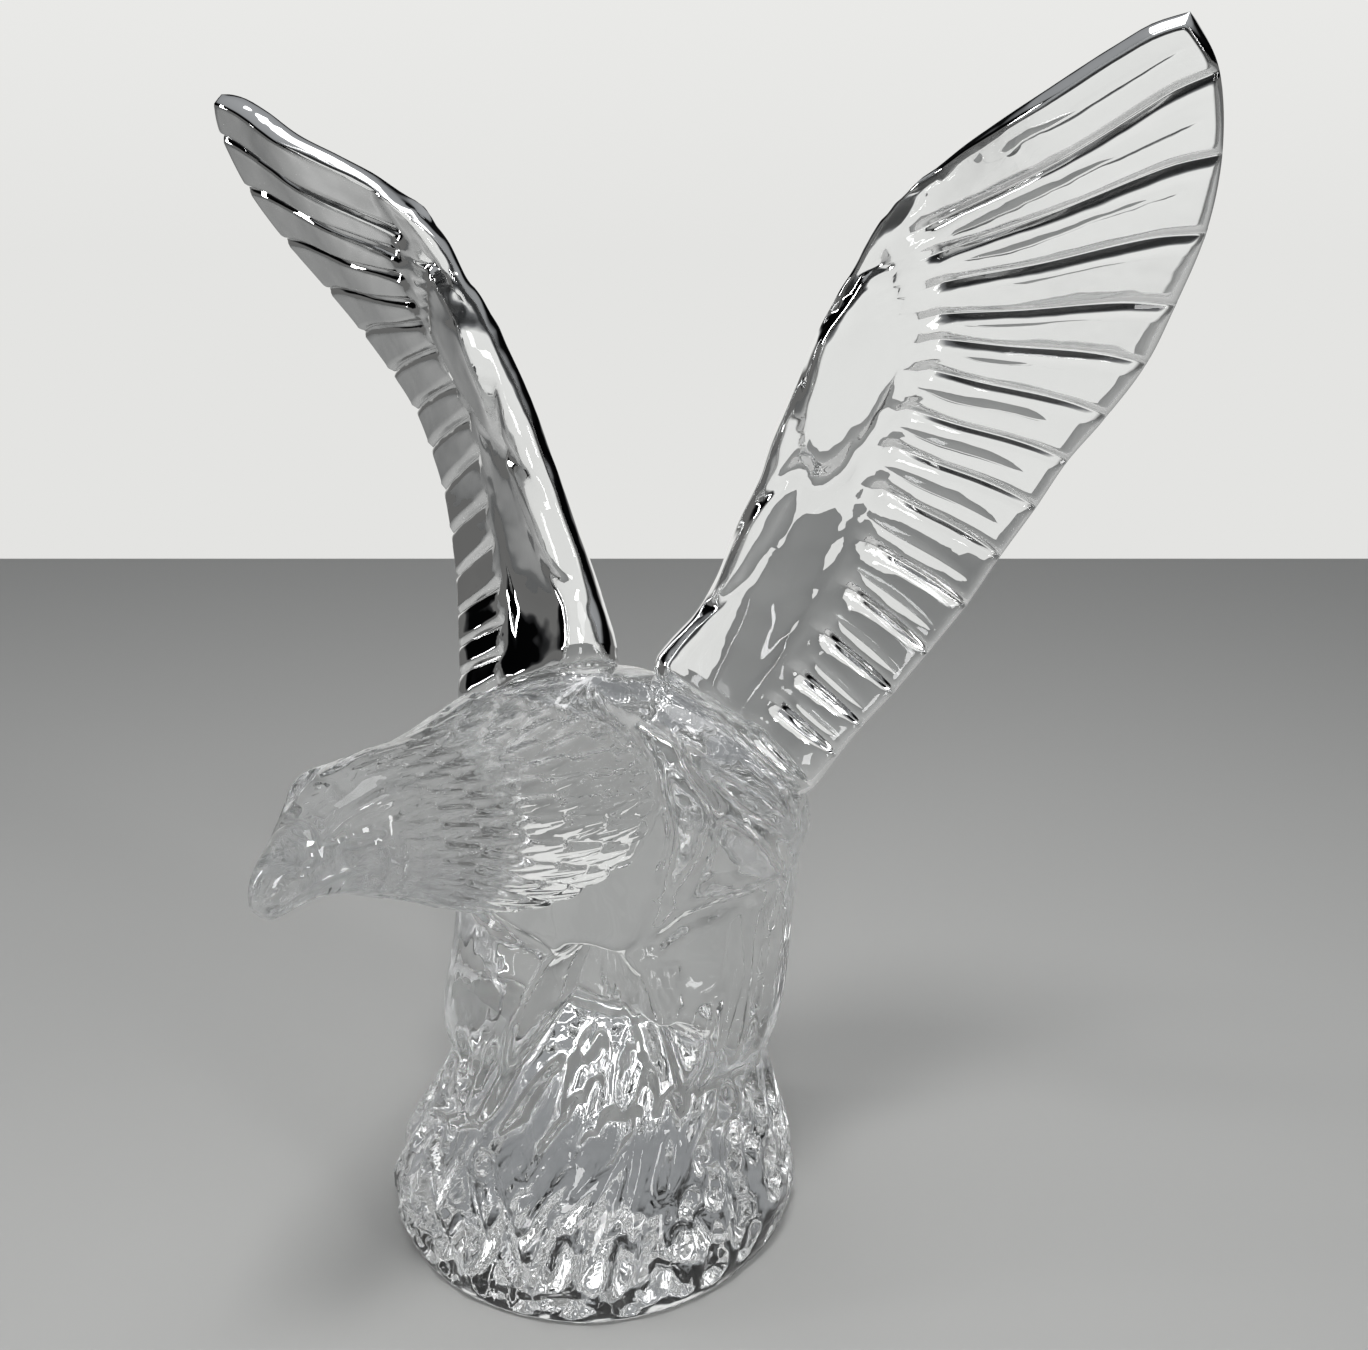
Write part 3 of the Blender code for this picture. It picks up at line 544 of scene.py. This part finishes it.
def plain_rock(bearing, z):
    """Radius of the rock before pressing: base radius times the profile, plus its rough outline."""
    base = BASE_DIAMETER / 2
    swell = (BASE_BULGE_DIAMETER / 2 / base - 1) / 0.040
    share = spline([p[0] for p in ROCK_PROFILE], [p[1] for p in ROCK_PROFILE], z / SHARE)
    plain = base * np.where(share > 1, 1 + (share - 1) * swell, share)
    rough = np.interp(np.degrees(bearing), [p[0] for p in ROCK_OUTLINE], [p[1] for p in ROCK_OUTLINE]) * SHARE
    return plain + rough * ease((150 - z / SHARE) / 100)


def body_share(bearing, z):
    """1 where the smooth body lies over the rock and 0 where the rock shows, from the hem and the tongue."""
    degrees = np.degrees(bearing)
    at, high = [p[0] for p in BODY_HEM], [p[1] for p in BODY_HEM]
    hem = (np.interp(degrees - 2, at, high) + 2 * np.interp(degrees, at, high) + np.interp(degrees + 2, at, high)) / 4
    rise = (np.interp(degrees + 2, at, high) - np.interp(degrees - 2, at, high)) / (4 * math.radians(1) * HEM_RADIUS)
    share = ease((z / SHARE - hem) / np.sqrt(1 + rise**2) / HEM_SOFTNESS + 0.5)
    path = np.array(TONGUE, float)
    middle = np.interp(z / SHARE, path[:, 1], path[:, 0])
    half = np.interp(z / SHARE, path[:, 1], path[:, 2])
    inside = half - np.abs(degrees - middle) * math.radians(1) * HEM_RADIUS
    tongue = ease(inside / 7 + 0.3) * ease((z / SHARE - 84) / 14) * ease((262 - z / SHARE) / 20)
    share = np.maximum(share, tongue)
    for _ in range(2):
        share = (np.roll(share, 1, 1) + 2 * share + np.roll(share, -1, 1)) / 4
        share[1:-1] = (share[:-2] + 2 * share[1:-1] + share[2:]) / 4
    return share


def trunk_surface(bearing, z):
    """Point at a bearing and height: the rock's radius below the hem and the body's above it, each with its relief,
    from an axis whose y moves back with height."""
    rings = np.array(BODY_RINGS, float)
    ring = spline(rings[:, 0], rings[:, 1:], z / SHARE)
    centre, front, back = (ring[..., i] * SHARE for i in range(3))
    wide = ring[..., 3] * BODY_WIDTH / 2
    deep = np.where(np.cos(bearing) > 0, centre - front, back - centre)
    body = 1 / np.sqrt((np.sin(bearing) / wide) ** 2 + (np.cos(bearing) / deep) ** 2)
    degrees = np.degrees(bearing)
    away = np.abs(degrees)
    feather = (away - TAIL_EDGE_BEARING) / (180 - TAIL_EDGE_BEARING) * TAIL_FEATHERS / 2
    barrel = 1 - np.abs((feather + 0.5 * (TAIL_FEATHERS % 2)) % 1.0 - 0.5) ** 2 * 4
    on_tail = ease((away - TAIL_EDGE_BEARING) / 4) * ease((392 - z / SHARE) / 60)
    body = body + on_tail * (TAIL_BARREL * barrel**0.7 + TAIL_RAISE)
    body = body + THIGH_SWELL * bell((degrees + 52) / 26) * bell((z / SHARE - 180) / 46)
    rock_plain = plain_rock(bearing, z)
    fade = ease(z / SHARE / 16 - 0.1) * ease((231 - z / SHARE) / 50)
    rock = rock_plain - press(bearing, z, ROCK_MARKS, ROCK_RADIUS) * fade * MM
    low = soft_max(rock, body - ARCH_DEPTH, 0.0025)
    low = low - press(bearing, z, LEG_MARKS, LOW_RADIUS) * MM * ease((z / SHARE - 215) / 10)
    over = ease((degrees + 55) / 20) * ease((100 - degrees) / 20)
    leg = soft_max(body, rock + (rock_plain + LEG_RELIEF - rock) * over, 0.0010)
    leg = leg - press(bearing, z, LEG_MARKS + FOOT_MARKS + TAIL_BEADS + BACK_FEATHERS, LEG_RADIUS) * MM
    for high, wide, path in FOLDS:
        leg = leg + FOLD_HIGHER * high * MM * stroke(bearing, z, path, wide, FOLD_RADIUS)
    radius = low + (leg - low) * body_share(bearing, z)
    centre = centre * ease(z / SHARE / 150)
    return np.stack([radius * np.sin(bearing), centre - radius * np.cos(bearing), z], -1)


# %% Trunk mesh
TRUNK_COLUMNS = 252


def make_trunk():
    """Grid of bearings and heights, closed by a fan underneath and one on top."""
    heights = np.concatenate([[0, 0.35, 0.9, 1.8], np.arange(2.8, 78, 0.8), np.arange(78, 121, 1.4), [121.8]]) * MM
    turns = np.arange(TRUNK_COLUMNS) / TRUNK_COLUMNS * 2 * math.pi
    z, bearing = np.meshgrid(heights, turns, indexing="ij")
    points = trunk_surface((bearing + math.pi) % (2 * math.pi) - math.pi, z)
    points[0, :, :2] *= 0.985
    rows, columns = z.shape
    ends = np.array([[0, 0, 0], points[-1].mean(0) + (0, 0, 0.0003)])
    c = np.arange(columns)
    d = (c + 1) % columns
    n = rows * columns
    under = np.stack([np.full(columns, n), d, c], -1)
    over = np.stack([np.full(columns, n + 1), (rows - 1) * columns + c, (rows - 1) * columns + d], -1)
    return new_mesh("trunk", np.concatenate([points.reshape(-1, 3), ends]),
                    grid_quads(rows, columns, 0, False, True), under, over)


# %% [markdown]
# ## Neck and head
# The mane is rows of long leaf-shaped locks that overlap like tiles and end at the shoulders in a ring of small
# ovals. The head is a loft of rings along a line that runs forward from the shoulders to the tip of the beak, and
# the locks are raised leaves on it, so the lines between them come out sharp, as pressed glass has them.

# %% Rings of the head: y at top, side and bottom, height of top and bottom, half width over half the neck width
HEAD_RINGS = [(10, 30, 10, 470, 390, .6), (-50, -10, -46, 500, 364, .90), (-100, -46, -122, 514, 348, 1.0),
              (-118, -66, -138, 514, 347, 1.01), (-145, -104, -158, 509, 353, .96), (-172, -144, -182, 505, 362, .87),
              (-200, -184, -208, 504, 375, .76), (-226, -218, -236, 506, 390, .66), (-250, -250, -262, 507, 402, .58),
              (-274, -278, -284, 505, 412, .52), (-292, -300, -300, 499, 420, .45), (-306, -314, -314, 493, 424, .37),
              (-321, -328, -326, 483, 425, .29), (-337, -341, -338, 473, 424, .225), (-350, -352, -348, 465, 422, .18),
              (-360, -361, -357, 456, 421, .135), (-367, -366, -362, 446, 423, .09), (-369, -368, -366, 436, 428, .035)]
# Locks in a row, rows, ring of the first row and rings from row to row, and the mean height in mm of the relief
LOCKS_AROUND, MANE_ROWS, FIRST_ROW, ROW_STEP, MANE_MEAN = 26, 7, 2.90, 0.98, 0.95
print("mane", MANE_ROWS, "rows of", LOCKS_AROUND, "locks")


# %% Relief of the mane and the face
def mane_relief(s, degrees):
    """Height of the locks in mm, where s counts the rings above and degrees go around from the top: the highest of
    leaves in staggered rows like tiles, each rising towards its free end at the shoulders and dropping round its rim,
    then the ring of ovals."""
    relief = 0 * s
    for row in range(MANE_ROWS):
        at = FIRST_ROW + ROW_STEP * row
        long, high = 0.90 + 0.02 * row, 2.0 - 0.14 * row
        turn = ((degrees / 360 * LOCKS_AROUND + 0.5 * (row % 2)) % 1.0 - 0.5) * 2
        reach = np.clip(1 - ((s - at) / long) ** 2, 0, 1)
        lock = np.clip(1 - (turn / np.maximum(0.98 * reach**0.6, 1e-6)) ** 2, 0, 1) ** 0.6
        tilt = 0.72 - 0.28 * np.clip((s - at) / long, -1, 1)
        relief = np.maximum(relief, high * tilt * lock * ease(reach * 3))
    turn = ((degrees / 360 * LOCKS_AROUND + 0.5) % 1.0 - 0.5) * 2
    rim = np.hypot(turn / 0.84, (s - 1.92) / 0.30)
    return np.maximum(relief, 1.3 * lens(rim, 0.35) - 0.8 * lens(rim / 0.6, 0.6))


def face_relief(s, degrees):
    """Height of the face in mm: brow ridge, eye in its hollow, line of the mouth, rim of the beak, nostril and fine
    folds of the cheek."""
    brow = 1.6 * bell((s - 9.7 - 0.012 * (degrees - 50)) / 1.5) * bell((degrees - 46) / 9)
    hollow = -1.7 * bell((s - 10.4) / 0.8) * bell((degrees - 66) / 12)
    eye = 0.9 * bell((s - 10.35) / 0.32) * bell((degrees - 66) / 7)
    mouth = -0.9 * bell((degrees - 112 - 3 * (s - 13)) / 5) * ease((s - 9.6) / 0.8) * ease((16.2 - s) / 1.0)
    cere = -0.5 * bell((s - 12.35 - 0.004 * (degrees - 60)) / 0.14) * ease((118 - degrees) / 20)
    nostril = -0.9 * bell((s - 12.9) / 0.22) * bell((degrees - 72) / 8)
    on_cheek = ease((s - 7.4) / 0.6) * ease((10.6 - s) / 0.8) * bell((degrees - 105) / 32)
    folds = 0.28 * np.sin(s * 9 + degrees / 14) * on_cheek
    return brow + hollow + eye + mouth + cere + nostril + folds


# %% Head mesh
def make_head():
    """Loft of flattened ovals: each ring leans by its own y at top, side and bottom, and grows by the relief, which
    is plainer on the hidden right side."""
    rings = np.array(HEAD_RINGS, float)
    stations = np.concatenate([[0, 0.5, 1.0, 1.3], np.linspace(1.5, 9, 76)[:-1], np.linspace(9, 16, 36)[:-1],
                               [16.0, 16.3, 16.6, 16.8, 17.0]])
    columns = 8 * LOCKS_AROUND
    turns = np.arange(columns) / columns * 2 * math.pi
    s, turn = np.meshgrid(stations, turns, indexing="ij")
    ring = spline(np.arange(len(rings)), rings, s)
    top, mid, low, high, down = (ring[..., i] * SHARE for i in range(5))
    wide = ring[..., 5] * NECK_WIDTH / 2
    up, out = np.cos(turn), np.sin(turn)
    y = mid + np.where(up > 0, top - mid, low - mid) * up**2
    z = (high + down) / 2 + (high - down) / 2 * np.sign(up) * np.abs(up) ** 0.92
    x = wide * np.sign(out) * np.abs(out) ** 0.92
    degrees = np.degrees(np.arccos(np.clip(up, -1, 1)))
    wrapped = np.degrees(turn)
    plainer = 0.35 + 0.65 * ease((np.sin(turn) + 0.30) / 0.5)
    mane = (mane_relief(s, wrapped) - MANE_MEAN) * ease((9.4 - s) / 1.6) * ease((s - 1.5) / 0.3)
    relief = mane * plainer + face_relief(s, degrees)
    relief = relief - MANE_MEAN * ease((1.8 - s) / 0.3)
    grow = 1 + relief * MM / np.maximum(wide, 0.0035)
    middle = (high + down) / 2
    points = np.stack([x * grow, y, middle + (z - middle) * grow], -1)
    rows, n = len(stations), s.size
    ends = np.array([points[0].mean(0), points[-1].mean(0) + (0, -0.0004, 0)])
    c = np.arange(columns)
    d = (c + 1) % columns
    inner = np.stack([np.full(columns, n), c, d], -1)
    outer = np.stack([np.full(columns, n + 1), (rows - 1) * columns + d, (rows - 1) * columns + c], -1)
    return new_mesh("neck_and_head", np.concatenate([points.reshape(-1, 3), ends]),
                    grid_quads(rows, columns, 0, True, True), inner, outer)


# %% [markdown]
# ## One casting
# The four masses become one closed surface by a Boolean union. A mould has no sharp inner corners, so the points
# around each join are then moved towards the mean of their neighbours, most at the join and less with distance.


# %% Reading points and uniting masses
def coordinates(mesh):
    """Every vertex of a mesh as one array."""
    flat = np.empty(len(mesh.vertices) * 3, np.float32)
    mesh.vertices.foreach_get("co", flat)
    return flat.reshape(-1, 3)


def unite(target, others):
    """Boolean union with each mass in turn, read back as a plain mesh."""
    for other in others:
        modifier = target.modifiers.new("union", "BOOLEAN")
        modifier.operation, modifier.solver, modifier.object = "UNION", "MANIFOLD", other
    fused = bpy.data.meshes.new_from_object(target.evaluated_get(bpy.context.evaluated_depsgraph_get()))
    target.modifiers.clear()
    target.data = fused
    return target


# %% Union of the trunk, the head and the wings
masses = [make_trunk(), make_head(), make_wing("left_wing", 1), make_wing("right_wing", -1)]
for mass in masses:
    print(mass.name, len(mass.data.vertices), "points")
kept = np.concatenate([coordinates(mass.data) for mass in masses])
eagle = unite(masses[0], masses[1:])
for mass in masses[1:]:
    bpy.data.objects.remove(mass, do_unlink=True)
eagle.name = "crystal_casting"
print("united", len(eagle.data.vertices), "points", len(eagle.data.polygons), "faces")


# %% Fillets at the joins
def point_keys(points):
    """One whole number for each point: its coordinates in tenths of a micrometre, each times its own large step."""
    return np.round(points.astype(float) / 1e-7).astype(np.int64) @ np.array([1, 4194301, 17592169267201])


def soften_joins(mesh, old, reach, passes):
    """Laplacian fillet: weight 1 on points that the union made, less by a share at each edge away from them, and
    each pass moves a point by its weight towards the mean of its neighbours."""
    points = coordinates(mesh).astype(float)
    known = np.isin(point_keys(points), point_keys(old))
    ends = np.empty(len(mesh.edges) * 2, np.int32)
    mesh.edges.foreach_get("vertices", ends)
    a, b = ends.reshape(-1, 2).T
    weight = np.where(known, 0.0, 1.0)
    for _ in range(reach):
        spread = weight.copy()
        np.maximum.at(spread, a, weight[b] - 1 / reach)
        np.maximum.at(spread, b, weight[a] - 1 / reach)
        weight = spread
    degree = np.bincount(a, minlength=len(points)) + np.bincount(b, minlength=len(points))
    for _ in range(passes):
        total = np.stack([np.bincount(a, points[b, i], len(points)) + np.bincount(b, points[a, i], len(points))
                          for i in range(3)], -1)
        points += (total / degree[:, None] - points) * (0.6 * ease(weight))[:, None]
    mesh.vertices.foreach_set("co", points.astype(np.float32).reshape(-1))
    mesh.update()
    print("points on the joins", int((~known).sum()))


soften_joins(eagle.data, kept, reach=5, passes=14)

# %% [markdown]
# ## Finish
# Lead crystal is glass with lead oxide in it: clear, faintly warm or blue only at great depth, with an index of 1.545
# or more, which gives it its strong edges. Pressing leaves it slightly wavy, and fire-polishing melts the skin until
# it is as smooth as water. So the shader is clear and without roughness, and a very low ripple, one every 7 mm, bends
# the reflections.

# %% Lead crystal
RIPPLES_PER_METRE, RIPPLE_HEIGHT, RIPPLE_STRENGTH, UNDERSIDE = 140.0, 0.001, 0.3, 1e-5
crystal = bpy.data.materials.new("fire_polished_lead_crystal")
crystal.use_nodes = True
tree = crystal.node_tree
shader = tree.nodes["Principled BSDF"]
shader.inputs["Base Color"].default_value = to_linear("#FCFDFD")
shader.inputs["Roughness"].default_value = 0.0
shader.inputs["IOR"].default_value = 1.545
shader.inputs["Transmission Weight"].default_value = 1.0
place = add_node(tree, "ShaderNodeTexCoord")
ripple = add_node(tree, "ShaderNodeTexNoise", {"Scale": RIPPLES_PER_METRE, "Detail": 1.0},
                  {"Vector": place.outputs["Object"]})
bump = add_node(tree, "ShaderNodeBump", {"Strength": RIPPLE_STRENGTH, "Distance": RIPPLE_HEIGHT},
                {"Height": ripple.outputs["Fac"]})
tree.links.new(bump.outputs["Normal"], shader.inputs["Normal"])
eagle.data.materials.clear()
eagle.data.materials.append(crystal)
eagle.data.polygons.foreach_set("material_index", np.zeros(len(eagle.data.polygons), np.int32))
middles = np.empty(len(eagle.data.polygons) * 3, np.float32)
eagle.data.polygons.foreach_get("center", middles)
eagle.data.polygons.foreach_set("use_smooth", middles[2::3] > UNDERSIDE)  # ground flat below this height
eagle.data.update()
print("faces of the underside", int((middles[2::3] <= UNDERSIDE).sum()))

# %% Handing over
bpy.context.scene.cycles.max_bounces = 32
bpy.context.scene.cycles.transmission_bounces = 24
bpy.context.scene.cycles.glossy_bounces = 16
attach(eagle, "root")
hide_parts("crystal_eagle")
